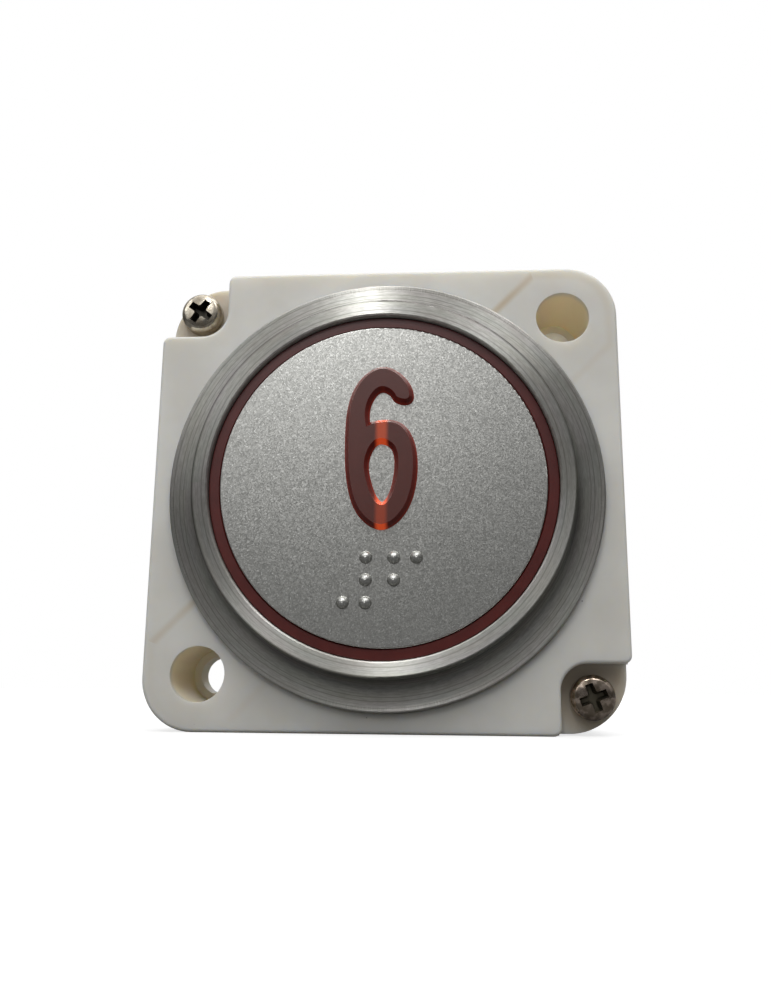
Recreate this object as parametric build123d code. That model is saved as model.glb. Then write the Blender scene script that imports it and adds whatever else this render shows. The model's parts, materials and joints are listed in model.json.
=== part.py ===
"""Round illuminated lift push button on a square plastic housing.

Built facing the user along +Z, with the housing's front face at height 0, then turned so that
the finished part stands upright: +X is to the right, +Z is up, and the face looks along -Y.
The finished part's origin is on the button's axis, in the plane of the flange's front face,
where the back of the panel seats. All sizes are in millimetres.
"""

from build123d import *
import os
from math import cos, radians, sin

# ---- driving dimensions -------------------------------------------------------------
HOUSING_SIDE = 55.0
HOUSING_CORNER_R = 6.0
HOUSING_WALL = 1.8
FRONT_PLATE = 3.2          # thickness of the housing's front plate
FRONT_DEPTH = 13.5         # front housing, front face to split line
TOTAL_DEPTH = 24.0         # front face to back face
REAR_FLOOR = 1.6
BACK_CHAMFER = 0.4

STUD_OFFSET = 21.1         # stud holes lie on one diagonal, this far out along X and Z
STUD_HOLE_R = 2.25         # clearance for an M4 stud
STUD_SOCKET_R = 3.15       # wide front part of the stud hole
STUD_SOCKET_DEPTH = 10.3
STUD_LUG_INNER = 24.6      # inner face of the solid lug, measured along the diagonal
NUT_RELIEF = 24.8          # rear corner cut away for the nut, measured along the diagonal
FRONT_EDGE_R = 0.4

NOTCH = 7.9                # square corner notch for a housing screw
NOTCH_DEPTH = 3.0
NOTCH_INNER_R = 3.1
NOTCH_EDGE_R = 0.9
SCREW_EAR = 2.4            # thickness of the screwed ear under the notch
EAR_INSETS = (0.6, 0.2)    # how far the upper left and lower right ear stand back from the sides
EAR_CORNER_R = 6.6
SCREW_OFFSET = 23.3        # housing screws lie on the other diagonal
COLUMN_INNER = 29.1        # inner face of the rear housing's screw column, along the diagonal
COLUMN_SHROUD = 0.9        # thickness of the front housing's wall beside that column

FLANGE_R = 25.2
FLANGE_PROUD = 1.1
FLANGE_SEAT = 0.9          # how deep the flange is let into the housing
FLANGE_CHAMFER = 0.2
COLLAR_R = 21.6
COLLAR_PROUD = 5.0
COLLAR_ROOT_R = 0.8
COLLAR_EDGE = 0.3
BEZEL_BORE_R = 19.75
BORE_CHAMFER = 0.15
SKIRT_END = -6.4
SNAP_GROOVE_TOP = -3.3
SNAP_GROOVE = 1.1
SNAP_GROOVE_R = 21.0
SNAP_RING = 1.0
SNAP_RING_R = 23.3
SNAP_GAP = 7.0
SNAP_PLAY = 0.05

HALO_R = 19.67             # red rim round the face, a running fit in the bezel's bore
HALO_PROUD = 4.25
HALO_CHAMFER = 0.12
FACE_R = 18.35
FACE_PROUD = 4.5
FACE_THICK = 1.0
FACE_EDGE_R = 0.15
FACE_GAP = 0.05            # between the face plate's edge and the rim
LENS_WEB = 1.5
LENS_SKIRT_END = 0.4
NUMERAL_RELIEF = 0.9
NUMERAL_BEVEL = 0.5
NUMERAL_FOOT = 0.05        # upright part below the bevel, above the face
BRIDGE_WIDTH = 1.25
BRIDGE_THICK = 0.4
BRIDGE_SPAN = 16.0         # reaches both bridges, and stays clear of the numeral's hook

BRAILLE_PITCH = 2.48
BRAILLE_CELL_PITCH = 5.56
BRAILLE_LEFT = -4.18
BRAILLE_TOP = -8.46
DOT_R = 0.72
DOT_PROUD = 0.6
DOT_SHANK_R = 0.5

STOP_GAP = 0.1
CARRIER_R = 19.45
CARRIER_BORE_R = 18.0
CARRIER_WALL = 1.2         # of the rim that enters the lens
CARRIER_SHELF = 1.5        # thickness of the shelf under the lens
CARRIER_STOP_R = 21.2
CARRIER_STOP = 1.4
SPOKE_LENGTH = 17.5
SPOKE_WIDTH = 6.0
SPOKE_THICK = 2.2
HUB_R = 5.0
POST_R = 2.2
DIFFUSER = 0.8

CHAMBER_TOP = -9.5
CHAMBER_PLATE = 1.5
CHAMBER_R = 20.5
CHAMBER_WALL = 1.2
GUIDE_RING_R = 11.5        # circle of the three guide pins and springs
GUIDE_ANGLES = (90, 210, 330)
GUIDE_PIN_R = 1.2
GUIDE_PIN_END = -12.9
GUIDE_BORE_R = 1.25
GUIDE_BOSS_R = 2.75
PEG_RING_R = 15.8
PEG_ANGLES = (30, 150)
LOWER_PEG_Y = -7.5         # the third peg, between the switch and the wiring header
PEG_R = 1.0
PEG_COLUMN_R = 2.0
PEG_FIT = 0.05
PEG_PROUD = 0.8            # how far a peg stands out behind the board

BOARD_TOP = -14.6
BOARD_THICK = 1.6
BOARD_HALF = 24.0
BOARD_STUD_CUT = 22.4      # board corner cut beside the stud lugs, along the diagonal
BOARD_COLUMN_CUT = 28.4    # board corner cut beside the screw columns
BOARD_SCREW_OFFSET = 18.4
BOARD_SCREW_R = 1.0
BOARD_SCREW_HEAD_R = 1.9
BOARD_SCREW_HEAD = 1.4
BOARD_SCREW_GRIP = 4.5     # how far a screw enters its pillar
BOARD_PILLAR_R = 3.0
BOARD_PILLAR_FLOOR = 0.4   # left under the screw hole
BOARD_POST_OFFSET = 15.0
BOARD_POST_R = 2.0

LED_SIZE = (3.5, 2.8, 1.9)
LED_LENS_R = 1.1
LED_LENS_DEPTH = 0.3
LED_WINDOW_R = 2.6
HALO_LED_RING_R = 15.8
HALO_LED_ANGLES = (0, 60, 120, 180, 240, 300)
NUMERAL_LED_X = 8.0

SWITCH_SIDE = 10.0
SWITCH_GAP = 0.2           # between the switch and the chamber round it
SWITCH_TOP = -9.0
SWITCH_CHAMFER = 0.4
SWITCH_CAVITY_R = 3.0
SWITCH_CAVITY_TOP = -10.0
SWITCH_CAVITY_END = -13.4
STEM_R = 2.0
STEM_BORE_R = 2.06
STEM_TOP = -6.6
STEM_FOOT_R = 2.7
STEM_FOOT = 0.9
STEM_CHAMFER = 0.3
SWITCH_PIN_X = 3.25
SWITCH_PIN_Y = 3.5
SWITCH_PIN_SIZE = (0.7, 0.4)
SWITCH_PIN_TAIL = 1.6
SWITCH_PIN_HOLE_R = 0.45

SPRING_WIRE_R = 0.22
SPRING_R = 1.95
SPRING_TURNS = 5
SWITCH_SPRING_WIRE_R = 0.12
SWITCH_SPRING_R = 1.4
SWITCH_SPRING_TURNS = 2
SPRING_END_GAP = 0.05

HEADER_Y = -13.0
HEADER_LENGTH = 12.4
HEADER_WIDTH = 6.2
HEADER_WALL = 0.8
HEADER_HEIGHT = 8.4
HEADER_BASE = 1.8
HEADER_WINDOW_GAP = 0.4
HEADER_SLOT = 1.4          # the two keying slots, which stop short of the base
HEADER_SLOT_STOP = 1.0
PIN_COUNT = 4
PIN_PITCH = 2.5
PIN_SIDE = 0.64
PIN_RECESS = 1.4           # how far the contacts end inside the shroud
PIN_TAIL = 0.8
PIN_HOLE_R = 0.5

RESISTOR_SIZE = (3.2, 1.6, 0.6)
RESISTOR_ROWS = (2.0, 7.0)
RESISTOR_COLUMNS = (-7.0, 0.0, 7.0)
DIODE_PLACE = (15.0, -6.0)
DIODE_BODY = (4.3, 2.6, 2.2)
DIODE_LEADS = (5.2, 1.4, 0.3)
DIODE_CHAMFER = 0.3

LABEL_SIZE = (30.0, 17.0)  # shallow recess for a label, on the back
LABEL_CORNER_R = 1.5
LABEL_DEPTH = 0.4
LABEL_Y = 8.0

HEAD_R = 2.5
HEAD_HEIGHT = 2.1
SHANK_R = 1.25
SHANK_GAP = 0.2            # between a screw and the ear it passes through
SCREW_END = -15.0
SCREW_HOLE_EXTRA = 0.5     # how much deeper than the screw its hole is
SCREW_TURNS = (54, 20)     # how far each housing screw's cross is turned
CROWN_SHARE = 0.4          # of the head's height
CROWN_RISE = 0.1
CROWN_TOP_SHARE = 0.8      # of the head's radius
DOME_SLOPE = 0.25          # where the dome leaves the crown
POINT_SHARE = 0.3          # of the shank's radius
RECESS_SPAN = 1.28         # the cross, as shares of the head's radius
RECESS_ARM = 0.38
RECESS_MIDDLE = 0.62
RECESS_DEPTH = 0.62        # of the head's height
RECESS_TAPER = 12

CLEARANCE = 0.1
PAST = 1.0                 # how far a cut runs past the surface it opens
BOARD_BACK = BOARD_TOP - BOARD_THICK
LENS_TOP = FACE_PROUD - FACE_THICK
DIFFUSER_TOP = LENS_TOP - LENS_WEB
CARRIER_TOP = DIFFUSER_TOP - DIFFUSER
SPOKE_BACK = CARRIER_TOP - SPOKE_THICK
FLOOR_TOP = -TOTAL_DEPTH + REAR_FLOOR
STUD_POINTS = ((STUD_OFFSET, STUD_OFFSET), (-STUD_OFFSET, -STUD_OFFSET))
SCREW_POINTS = ((-SCREW_OFFSET, SCREW_OFFSET), (SCREW_OFFSET, -SCREW_OFFSET))
BOARD_SCREW_POINTS = (
    (-BOARD_SCREW_OFFSET, BOARD_SCREW_OFFSET),
    (BOARD_SCREW_OFFSET, -BOARD_SCREW_OFFSET),
)
BOARD_POST_POINTS = (
    (BOARD_POST_OFFSET, BOARD_POST_OFFSET),
    (-BOARD_POST_OFFSET, -BOARD_POST_OFFSET),
)


# ---- helpers ------------------------------------------------------------------------
def slab(outline, low, high):
    """A sketch in the XY plane, extruded from height low to height high."""
    return Pos(0, 0, low) * extrude(outline, amount=high - low)


def rod(radius, low, high, at=(0, 0)):
    """An upright cylinder between two heights."""
    return Pos(at[0], at[1], (low + high) / 2) * Cylinder(radius, high - low)


def tube(outer_r, inner_r, low, high, at=(0, 0)):
    """An upright tube between two heights."""
    return rod(outer_r, low, high, at) - rod(inner_r, low - PAST, high + PAST, at)


def block(length, width, low, high, at=(0, 0)):
    """An upright box between two heights, centred on a point."""
    return Pos(at[0], at[1], (low + high) / 2) * Box(length, width, high - low)


def polar(radius, degrees):
    """The point at this radius and angle."""
    return (radius * cos(radians(degrees)), radius * sin(radians(degrees)))


def corner_band(distance, angle):
    """The flat region further out than distance along the diagonal at this angle."""
    far = HOUSING_SIDE
    return Rot(0, 0, angle) * Pos(distance + far / 2, 0) * Rectangle(far, 2 * far)


def both_corners(distance, angle):
    """The same corner region at this angle and at the corner opposite."""
    return corner_band(distance, angle) + corner_band(distance, angle + 180)


def coil(radius, wire_r, low, high, turns, at=(0, 0)):
    """An open compression spring that fills the space between two heights."""
    rise = high - low - 2 * wire_r
    path = Pos(at[0], at[1], low + wire_r) * Helix(rise / turns, rise, radius)
    section = Plane(path @ 0, z_dir=path % 0) * Circle(wire_r)
    return sweep(section, path=path, is_frenet=True)


def pan_screw(at, seat, end, head_r, head_height, shank_r, turn=0):
    """A pan-head screw with a cross recess, its head resting at height seat."""
    top = seat + head_height
    shoulder = top - head_height * CROWN_SHARE
    crown_r = head_r * CROWN_TOP_SHARE
    edge = top - head_height * CROWN_RISE
    side = Line((head_r, seat), (head_r, shoulder))
    crown = RadiusArc((head_r, shoulder), (crown_r, edge), -head_height * CROWN_SHARE)
    dome = Spline((crown_r, edge), (0, top), tangents=((-1, DOME_SLOPE), (-1, 0)))
    rest = Polyline(
        (0, top), (0, end), (shank_r * POINT_SHARE, end),
        (shank_r, end + shank_r), (shank_r, seat), (head_r, seat),
    )
    body = revolve(Plane.XZ * make_face(side + crown + dome + rest), Axis.Z)
    span, arm, middle = (head_r * share for share in (RECESS_SPAN, RECESS_ARM, RECESS_MIDDLE))
    cross = Rectangle(span, arm) + Rectangle(arm, span) + Rot(0, 0, 45) * Rectangle(middle, middle)
    recess = extrude(cross, amount=-head_height * RECESS_DEPTH, taper=RECESS_TAPER)
    return Pos(at[0], at[1], 0) * (body - Pos(0, 0, top) * Rot(0, 0, turn) * recess)


# ---- housing ------------------------------------------------------------------------
def housing_outline():
    """The full square with its four rounded corners."""
    return RectangleRounded(HOUSING_SIDE, HOUSING_SIDE, HOUSING_CORNER_R)


def base_outline():
    """The square under the notches: the two screwed corners stand back a little."""
    outline = housing_outline()
    middle = (HOUSING_SIDE - NOTCH) / 2 + PAST
    corner = Rectangle(NOTCH + 2 * PAST, NOTCH + 2 * PAST)
    for x, inset in zip((-1, 1), EAR_INSETS):
        ear_side = HOUSING_SIDE - 2 * inset
        place = Pos(x * middle, -x * middle)
        ear = RectangleRounded(ear_side, ear_side, EAR_CORNER_R) & place * corner
        outline = (outline - place * corner) + ear
    return outline


def corner_at(face, x, y):
    """The corner of a flat face at this point, as a list."""
    return face.vertices().filter_by(lambda v: abs(v.X - x) < 0.01 and abs(v.Y - y) < 0.01)


def notched_outline():
    """The front face: two rounded corners, and two corners notched for the screws."""
    half = HOUSING_SIDE / 2
    inner = half - NOTCH
    corners = Polyline(
        (half, half), (-inner, half), (-inner, inner), (-half, inner), (-half, -half),
        (inner, -half), (inner, -inner), (half, -inner), close=True,
    )
    face = make_face(corners)
    for x, y, radius in (
        (half, half, HOUSING_CORNER_R),
        (-inner, inner, NOTCH_INNER_R),
        (-inner, half, NOTCH_EDGE_R),
        (-half, inner, NOTCH_EDGE_R),
    ):
        face = fillet(corner_at(face, x, y) + corner_at(face, -x, -y), radius)
    return face


def front_housing():
    """Square front shell that carries the bezel, the stud holes and the screw ears."""
    plate = slab(notched_outline(), -NOTCH_DEPTH, 0)
    plate = fillet(plate.faces().sort_by(Axis.Z)[-1].outer_wire().edges(), FRONT_EDGE_R)
    shell = plate + slab(base_outline(), -FRONT_DEPTH, -NOTCH_DEPTH)
    inside = Rectangle(HOUSING_SIDE - 2 * HOUSING_WALL, HOUSING_SIDE - 2 * HOUSING_WALL)
    inside -= both_corners(STUD_LUG_INNER, 45)
    inside -= both_corners(COLUMN_INNER - COLUMN_SHROUD, 135)
    shell -= slab(inside, -FRONT_DEPTH, -FRONT_PLATE)
    ear_back = -NOTCH_DEPTH - SCREW_EAR
    shell -= slab(both_corners(COLUMN_INNER - CLEARANCE, 135), -FRONT_DEPTH, ear_back)
    shell -= rod(FLANGE_R + CLEARANCE, -FLANGE_SEAT, PAST)
    shell -= rod(COLLAR_R + CLEARANCE, -FRONT_DEPTH, PAST)
    for point in STUD_POINTS:
        shell -= rod(STUD_SOCKET_R, -STUD_SOCKET_DEPTH, PAST, point)
        shell -= rod(STUD_HOLE_R, -FRONT_DEPTH - PAST, PAST, point)
    for point in SCREW_POINTS:
        shell -= rod(SHANK_R + SHANK_GAP, -FRONT_DEPTH, PAST, point)
    return shell


def rear_housing():
    """Rear box with the two screw columns, the board posts and the connector window."""
    outer = base_outline() - both_corners(NUT_RELIEF, 45)
    box = slab(outer, -TOTAL_DEPTH, -FRONT_DEPTH)
    box = chamfer(box.faces().sort_by(Axis.Z)[0].outer_wire().edges(), BACK_CHAMFER)
    inside = Rectangle(HOUSING_SIDE - 2 * HOUSING_WALL, HOUSING_SIDE - 2 * HOUSING_WALL)
    inside -= both_corners(NUT_RELIEF - HOUSING_WALL, 45)
    inside -= both_corners(COLUMN_INNER, 135)
    box -= slab(inside, FLOOR_TOP, 0)
    column = base_outline() & both_corners(COLUMN_INNER, 135)
    box += slab(column, -FRONT_DEPTH, -NOTCH_DEPTH - SCREW_EAR)
    for point in BOARD_SCREW_POINTS:
        box += rod(BOARD_PILLAR_R, FLOOR_TOP, BOARD_BACK, point)
        box -= rod(BOARD_SCREW_R, FLOOR_TOP + BOARD_PILLAR_FLOOR, BOARD_BACK + PAST, point)
    for point in BOARD_POST_POINTS:
        box += rod(BOARD_POST_R, FLOOR_TOP, BOARD_BACK, point)
    for point in SCREW_POINTS:
        box -= rod(SHANK_R, SCREW_END - SCREW_HOLE_EXTRA, 0, point)
    window = (HEADER_LENGTH + 2 * HEADER_WINDOW_GAP, HEADER_WIDTH + 2 * HEADER_WINDOW_GAP)
    box -= block(window[0], window[1], -TOTAL_DEPTH - PAST, 0, (0, HEADER_Y))
    label = Pos(0, LABEL_Y) * RectangleRounded(LABEL_SIZE[0], LABEL_SIZE[1], LABEL_CORNER_R)
    return box - slab(label, -TOTAL_DEPTH - PAST, -TOTAL_DEPTH + LABEL_DEPTH)


def housing_screws():
    """Two screws that hold the front housing's ears down on the rear columns."""
    return [
        pan_screw(point, -NOTCH_DEPTH, SCREW_END, HEAD_R, HEAD_HEIGHT, SHANK_R, turn)
        for point, turn in zip(SCREW_POINTS, SCREW_TURNS)
    ]


# ---- bezel --------------------------------------------------------------------------
def bezel_ring():
    """Turned stainless ring: raised collar, flange and rear skirt in one piece."""
    root = COLLAR_R + COLLAR_ROOT_R
    above = Polyline(
        (BEZEL_BORE_R, SKIRT_END), (BEZEL_BORE_R, COLLAR_PROUD - BORE_CHAMFER),
        (BEZEL_BORE_R + BORE_CHAMFER, COLLAR_PROUD), (COLLAR_R - COLLAR_EDGE, COLLAR_PROUD),
    )
    edge = RadiusArc(
        (COLLAR_R - COLLAR_EDGE, COLLAR_PROUD), (COLLAR_R, COLLAR_PROUD - COLLAR_EDGE), COLLAR_EDGE
    )
    wall = Line((COLLAR_R, COLLAR_PROUD - COLLAR_EDGE), (COLLAR_R, FLANGE_PROUD + COLLAR_ROOT_R))
    corner = RadiusArc(
        (COLLAR_R, FLANGE_PROUD + COLLAR_ROOT_R), (root, FLANGE_PROUD), -COLLAR_ROOT_R
    )
    groove_end = SNAP_GROOVE_TOP - SNAP_GROOVE
    below = Polyline(
        (root, FLANGE_PROUD), (FLANGE_R - FLANGE_CHAMFER, FLANGE_PROUD),
        (FLANGE_R, FLANGE_PROUD - FLANGE_CHAMFER), (FLANGE_R, -FLANGE_SEAT),
        (COLLAR_R, -FLANGE_SEAT), (COLLAR_R, SNAP_GROOVE_TOP),
        (SNAP_GROOVE_R, SNAP_GROOVE_TOP), (SNAP_GROOVE_R, groove_end),
        (COLLAR_R, groove_end), (COLLAR_R, SKIRT_END), (BEZEL_BORE_R, SKIRT_END),
    )
    profile = Plane.XZ * make_face(above + edge + wall + corner + below)
    return revolve(profile, Axis.Z)


def bezel_snap_ring():
    """Spring-steel ring in the skirt's groove, which holds the bezel in the housing."""
    top = SNAP_GROOVE_TOP - SNAP_PLAY
    ring = tube(SNAP_RING_R, SNAP_GROOVE_R + SNAP_PLAY, top - SNAP_RING, top)
    gap = block(SNAP_GAP, SNAP_RING_R * 2, top - SNAP_RING - PAST, top + PAST, (0, -SNAP_RING_R))
    return ring - gap


# ---- pressel: everything that is pushed in ------------------------------------------
def numeral_outline():
    """The outside of the figure 6."""
    stem = Spline(
        (-1.4, 6.9), (-1.41, 8.2), (-0.9, 9.65), (0.0, 10.42), (0.75, 10.1), (1.15, 9.5),
    )
    tip = Spline((1.15, 9.5), (2.1, 8.95), (3.05, 9.0), (3.56, 9.75))
    sweep_round = Spline(
        (3.56, 9.75), (2.1, 12.6), (0.0, 13.5), (-2.55, 12.0), (-3.8, 9.4), (-4.23, 4.8),
        (-3.75, -1.1), (-2.3, -4.2), (0.0, -5.43), (2.35, -4.0), (3.7, -1.0), (4.0, 1.95),
        (3.62, 4.6), (2.15, 6.77), (0.3, 7.2), (-1.4, 6.9),
    )
    return make_face(stem + tip + sweep_round)


def numeral_counter():
    """The oval inside the bowl of the figure 6, narrow and round at its foot."""
    points = (
        (0.08, 4.32), (1.0, 3.75), (1.38, 2.2), (1.02, -0.6), (0.45, -1.95),
        (0.05, -2.3), (-0.38, -1.95), (-1.0, -0.6), (-1.47, 1.6), (-1.1, 3.4),
    )
    return make_face(Spline(*points, periodic=True))


def face_plate():
    """Satin metal face, cut out for the numeral; two thin bridges hold the island."""
    plate = rod(FACE_R, LENS_TOP, FACE_PROUD)
    plate = fillet(plate.edges().sort_by(Axis.Z)[-1], FACE_EDGE_R)
    cut = numeral_outline() - numeral_counter()
    plate -= slab(cut, LENS_TOP - PAST, FACE_PROUD + PAST)
    bridge = cut & Rectangle(BRIDGE_WIDTH, BRIDGE_SPAN)
    plate += slab(bridge, LENS_TOP, LENS_TOP + BRIDGE_THICK)
    for point in braille_points():
        plate -= rod(DOT_SHANK_R, LENS_TOP - PAST, FACE_PROUD + PAST, point)
    return plate


def braille_points():
    """Number sign (dots 3, 4, 5, 6), then the sign for six (dots 1, 2, 4)."""
    number_sign = ((0, 2), (1, 0), (1, 1), (1, 2))
    six = ((0, 0), (0, 1), (1, 0))
    points = []
    for cell, dots in enumerate((number_sign, six)):
        for column, row in dots:
            x = BRAILLE_LEFT + cell * BRAILLE_CELL_PITCH + column * BRAILLE_PITCH
            points.append((x, BRAILLE_TOP - row * BRAILLE_PITCH))
    return points


def braille_pins():
    """Seven domed pins pressed through the face plate."""
    pins = []
    ball_r = (DOT_R**2 + DOT_PROUD**2) / (2 * DOT_PROUD)
    for point in braille_points():
        dome = RadiusArc((DOT_R, FACE_PROUD), (0, FACE_PROUD + DOT_PROUD), -ball_r)
        rest = Polyline(
            (0, FACE_PROUD + DOT_PROUD), (0, LENS_TOP), (DOT_SHANK_R, LENS_TOP),
            (DOT_SHANK_R, FACE_PROUD), (DOT_R, FACE_PROUD),
        )
        pin = revolve(Plane.XZ * make_face(dome + rest), Axis.Z)
        pins.append(Pos(point[0], point[1], 0) * pin)
    return pins


def pressel_lens():
    """Translucent red moulding: the glowing rim, a web behind the face and the numeral."""
    rim = tube(HALO_R, FACE_R + FACE_GAP, LENS_SKIRT_END, HALO_PROUD)
    rim = chamfer(rim.edges().group_by(Axis.Z)[-1], HALO_CHAMFER)
    lens = rim + rod(FACE_R + FACE_GAP, DIFFUSER_TOP, LENS_TOP)
    figure = numeral_outline() - numeral_counter()
    numeral_top = FACE_PROUD + NUMERAL_RELIEF
    stroke = slab(figure, LENS_TOP, numeral_top)
    top_edges = stroke.edges().filter_by(lambda edge: abs(edge.center().Z - numeral_top) < 0.01)
    stroke = chamfer(top_edges, NUMERAL_RELIEF - NUMERAL_FOOT, NUMERAL_BEVEL)
    stroke -= block(BRIDGE_WIDTH, BRIDGE_SPAN, LENS_TOP - PAST, LENS_TOP + BRIDGE_THICK)
    return lens + stroke


def diffuser_disc():
    """Frosted disc that evens out the light behind the lens."""
    return rod(FACE_R - CLEARANCE, CARRIER_TOP, DIFFUSER_TOP)


def pressel_carrier():
    """White plunger under the lens: stop flange, spokes, guide pins and centre post."""
    stop_top = SKIRT_END - STOP_GAP
    rim_bore_r = CARRIER_BORE_R - CARRIER_WALL
    body = tube(FACE_R - FACE_GAP, rim_bore_r, LENS_SKIRT_END, CARRIER_TOP)
    body += tube(CARRIER_R, CARRIER_BORE_R, stop_top, LENS_SKIRT_END)
    body += tube(CARRIER_R, rim_bore_r, LENS_SKIRT_END - CARRIER_SHELF, LENS_SKIRT_END)
    body += tube(CARRIER_STOP_R, CARRIER_BORE_R, stop_top - CARRIER_STOP, stop_top)
    body += rod(HUB_R, SPOKE_BACK, CARRIER_TOP)
    spoke = block(SPOKE_LENGTH, SPOKE_WIDTH, SPOKE_BACK, CARRIER_TOP, (SPOKE_LENGTH / 2, 0))
    for angle in GUIDE_ANGLES:
        body += Rot(0, 0, angle) * spoke
        body += rod(GUIDE_PIN_R, GUIDE_PIN_END, SPOKE_BACK, polar(GUIDE_RING_R, angle))
    return body + rod(POST_R, STEM_TOP + STOP_GAP, SPOKE_BACK)


# ---- light, switch and board --------------------------------------------------------
def led_points():
    """Six lamps under the rim and two beside the switch, under the numeral."""
    ring = [polar(HALO_LED_RING_R, angle) for angle in HALO_LED_ANGLES]
    return ring + [(-NUMERAL_LED_X, 0), (NUMERAL_LED_X, 0)]


def peg_points():
    """The three pegs that hold the light chamber on the board."""
    return [polar(PEG_RING_R, angle) for angle in PEG_ANGLES] + [(0, LOWER_PEG_Y)]


def light_chamber():
    """White reflector on the board, with the spring seats and the guide bores."""
    low = CHAMBER_TOP - CHAMBER_PLATE
    body = rod(CHAMBER_R, low, CHAMBER_TOP)
    body += tube(CHAMBER_R, CHAMBER_R - CHAMBER_WALL, BOARD_TOP, low)
    opening = SWITCH_SIDE + 2 * SWITCH_GAP
    body -= block(opening, opening, BOARD_TOP - PAST, 0)
    for point in led_points():
        body -= rod(LED_WINDOW_R, low - PAST, 0, point)
    for point in peg_points():
        body += rod(PEG_COLUMN_R, BOARD_TOP, low, point)
        body += rod(PEG_R, BOARD_BACK - PEG_PROUD, BOARD_TOP, point)
    for angle in GUIDE_ANGLES:
        body += rod(GUIDE_BOSS_R, BOARD_TOP, low, polar(GUIDE_RING_R, angle))
        body -= rod(GUIDE_BORE_R, BOARD_TOP - PAST, 0, polar(GUIDE_RING_R, angle))
    return body


def circuit_board():
    """Board with its corners cut to clear the stud lugs and the screw columns."""
    outline = Rectangle(2 * BOARD_HALF, 2 * BOARD_HALF)
    outline -= both_corners(BOARD_STUD_CUT, 45)
    outline -= both_corners(BOARD_COLUMN_CUT, 135)
    board = slab(outline, BOARD_BACK, BOARD_TOP)
    holes = (
        (PEG_R + PEG_FIT, peg_points()),
        (BOARD_SCREW_R + CLEARANCE, BOARD_SCREW_POINTS),
        (SWITCH_PIN_HOLE_R, switch_pin_points()),
        (PIN_HOLE_R, header_pin_points()),
    )
    for radius, points in holes:
        for point in points:
            board -= rod(radius, BOARD_BACK - PAST, 0, point)
    return board


def board_screws():
    """Two small screws that hold the board on its posts."""
    end = BOARD_BACK - BOARD_SCREW_GRIP
    return [
        pan_screw(point, BOARD_TOP, end, BOARD_SCREW_HEAD_R, BOARD_SCREW_HEAD, BOARD_SCREW_R)
        for point in BOARD_SCREW_POINTS
    ]


def leds():
    """Surface-mounted lamps, each with a round window in its top."""
    lamps = []
    length, width, height = LED_SIZE
    for point in led_points():
        lamp = block(length, width, BOARD_TOP, BOARD_TOP + height, point)
        lamps.append(lamp - rod(LED_LENS_R, BOARD_TOP + height - LED_LENS_DEPTH, 0, point))
    return lamps


def switch_body():
    """Case of the long-travel tactile switch."""
    case = block(SWITCH_SIDE, SWITCH_SIDE, BOARD_TOP, SWITCH_TOP)
    case = chamfer(case.faces().sort_by(Axis.Z)[-1].edges(), SWITCH_CHAMFER)
    case -= rod(SWITCH_CAVITY_R, SWITCH_CAVITY_END, SWITCH_CAVITY_TOP)
    return case - rod(STEM_BORE_R, SWITCH_CAVITY_TOP - PAST, 0)


def switch_stem():
    """Stem of the switch, pushed in by the carrier's centre post."""
    foot_top = SWITCH_CAVITY_TOP - STOP_GAP
    foot = rod(STEM_FOOT_R, foot_top - STEM_FOOT, foot_top)
    stem = rod(STEM_R, foot_top, STEM_TOP)
    return foot + chamfer(stem.edges().group_by(Axis.Z)[-1], STEM_CHAMFER)


def switch_pin_points():
    """The four solder pins of the switch."""
    sides = (-1, 1)
    return [(x * SWITCH_PIN_X, y * SWITCH_PIN_Y) for x in sides for y in sides]


def switch_pins():
    """Flat solder pins under the switch."""
    length, width = SWITCH_PIN_SIZE
    end = BOARD_BACK - SWITCH_PIN_TAIL
    return [block(length, width, end, BOARD_TOP, point) for point in switch_pin_points()]


def return_springs():
    """Three springs round the guide pins, which push the pressel out."""
    low = CHAMBER_TOP + SPRING_END_GAP
    high = SPOKE_BACK - SPRING_END_GAP
    return [
        coil(SPRING_R, SPRING_WIRE_R, low, high, SPRING_TURNS, polar(GUIDE_RING_R, angle))
        for angle in GUIDE_ANGLES
    ]


def switch_spring():
    """Small spring under the stem's foot."""
    low = SWITCH_CAVITY_END + SPRING_END_GAP
    high = SWITCH_CAVITY_TOP - STOP_GAP - STEM_FOOT - SPRING_END_GAP
    return coil(SWITCH_SPRING_R, SWITCH_SPRING_WIRE_R, low, high, SWITCH_SPRING_TURNS)


def header_pin_points():
    """The contacts of the wiring header, in one row."""
    first = -(PIN_COUNT - 1) / 2 * PIN_PITCH
    return [(first + i * PIN_PITCH, HEADER_Y) for i in range(PIN_COUNT)]


def connector_header():
    """Shrouded wiring header on the back of the board, open to the rear."""
    end = BOARD_BACK - HEADER_HEIGHT
    shell = block(HEADER_LENGTH, HEADER_WIDTH, end, BOARD_BACK, (0, HEADER_Y))
    inner = (HEADER_LENGTH - 2 * HEADER_WALL, HEADER_WIDTH - 2 * HEADER_WALL)
    shell -= block(inner[0], inner[1], end - PAST, BOARD_BACK - HEADER_BASE, (0, HEADER_Y))
    slot_stop = BOARD_BACK - HEADER_BASE - HEADER_SLOT_STOP
    slot = block(HEADER_SLOT, 2 * HEADER_WALL, end - PAST, slot_stop)
    for x in (-PIN_PITCH, PIN_PITCH):
        shell -= Pos(x, HEADER_Y - HEADER_WIDTH / 2) * slot
    for point in header_pin_points():
        shell -= block(PIN_SIDE, PIN_SIDE, end - PAST, BOARD_BACK + PAST, point)
    return shell


def connector_pins():
    """Square contacts through the header's base and the board."""
    end = BOARD_BACK - HEADER_HEIGHT + PIN_RECESS
    top = BOARD_TOP + PIN_TAIL
    return [block(PIN_SIDE, PIN_SIDE, end, top, point) for point in header_pin_points()]


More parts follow.
